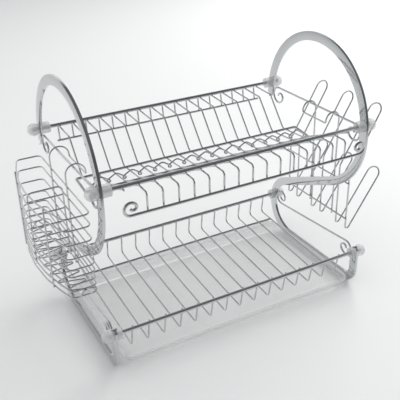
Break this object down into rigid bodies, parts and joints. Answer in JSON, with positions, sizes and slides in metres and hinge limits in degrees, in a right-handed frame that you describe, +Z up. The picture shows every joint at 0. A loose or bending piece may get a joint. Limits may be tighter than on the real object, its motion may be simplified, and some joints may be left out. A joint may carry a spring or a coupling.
{
  "type": "two-tier dish rack",
  "caption": "Two-tier chrome wire dish rack with arched flat-bar side frames, hanging cutlery basket, hanging cup holder and a drip tray.",
  "frame": {"origin": "below the middle of the part's box, on the floor that the two frames and the tray stand on", "axes": "+X to the right along the cross rails, +Y to the back, +Z up; the front of the rack faces -Y"},
  "size_m": [0.5486, 0.277, 0.382],
  "materials": {
    "chrome": "bright chrome plate on steel wire and bar",
    "clear_plastic": "frosted clear",
    "tray_plastic": "fine satin, slightly translucent"
  },
  "bodies": {
    "rack": {"left_side_frame": "chrome", "left_upper_side_rail": "chrome", "left_lower_side_rail": "chrome", "left_upper_front_ball_nut": "clear_plastic", "left_upper_front_collar": "clear_plastic", "left_upper_rear_ball_nut": "clear_plastic", "left_upper_rear_collar": "clear_plastic", "left_lower_front_ball_nut": "clear_plastic", "left_lower_front_collar": "clear_plastic", "left_lower_rear_ball_nut": "clear_plastic", "left_lower_rear_collar": "clear_plastic", "right_side_frame": "chrome", "right_upper_side_rail": "chrome", "right_lower_side_rail": "chrome", "right_upper_front_ball_nut": "clear_plastic", "right_upper_front_collar": "clear_plastic", "right_upper_rear_ball_nut": "clear_plastic", "right_upper_rear_collar": "clear_plastic", "right_lower_front_ball_nut": "clear_plastic", "right_lower_front_collar": "clear_plastic", "right_lower_rear_ball_nut": "clear_plastic", "right_lower_rear_collar": "clear_plastic", "upper_front_rail": "chrome", "upper_rear_rail": "chrome", "rear_lip_rail": "chrome", "trough_ring": "chrome", "plate_stop": "chrome", "scroll_lip_rail": "chrome", "plate_wire_01": "chrome", "plate_wire_02": "chrome", "plate_wire_03": "chrome", "plate_wire_04": "chrome", "plate_wire_05": "chrome", "plate_wire_06": "chrome", "plate_wire_07": "chrome", "plate_wire_08": "chrome", "plate_wire_09": "chrome", "plate_wire_10": "chrome", "plate_wire_11": "chrome", "plate_wire_12": "chrome", "plate_wire_13": "chrome", "plate_wire_14": "chrome", "plate_wire_15": "chrome", "plate_wire_16": "chrome", "plate_wire_17": "chrome", "lower_front_rail": "chrome", "lower_rear_rail": "chrome", "lower_rack_grid": "chrome"},
    "tray": {"drip_tray": "tray_plastic"},
    "cutlery_basket": {"cutlery_basket_cage": "chrome", "cutlery_basket_divider": "chrome", "cutlery_basket_floor": "chrome"},
    "cup_holder": {"cup_holder_back": "chrome", "cup_peg_loop_1": "chrome", "cup_peg_loop_2": "chrome", "cup_peg_loop_3": "chrome"}
  },
  "joints": [
    {"name": "tray_slides_out", "type": "slide", "parent": "rack", "child": "tray", "axis": [0, -1, 0], "range_m": [0, 0.2]},
    {"name": "basket_lifts_off", "type": "slide", "parent": "rack", "child": "cutlery_basket", "axis": [0, 0, 1], "range_m": [0, 0.03]},
    {"name": "cup_holder_lifts_off", "type": "slide", "parent": "rack", "child": "cup_holder", "axis": [0, 0, 1], "range_m": [0, 0.03]}
  ]
}
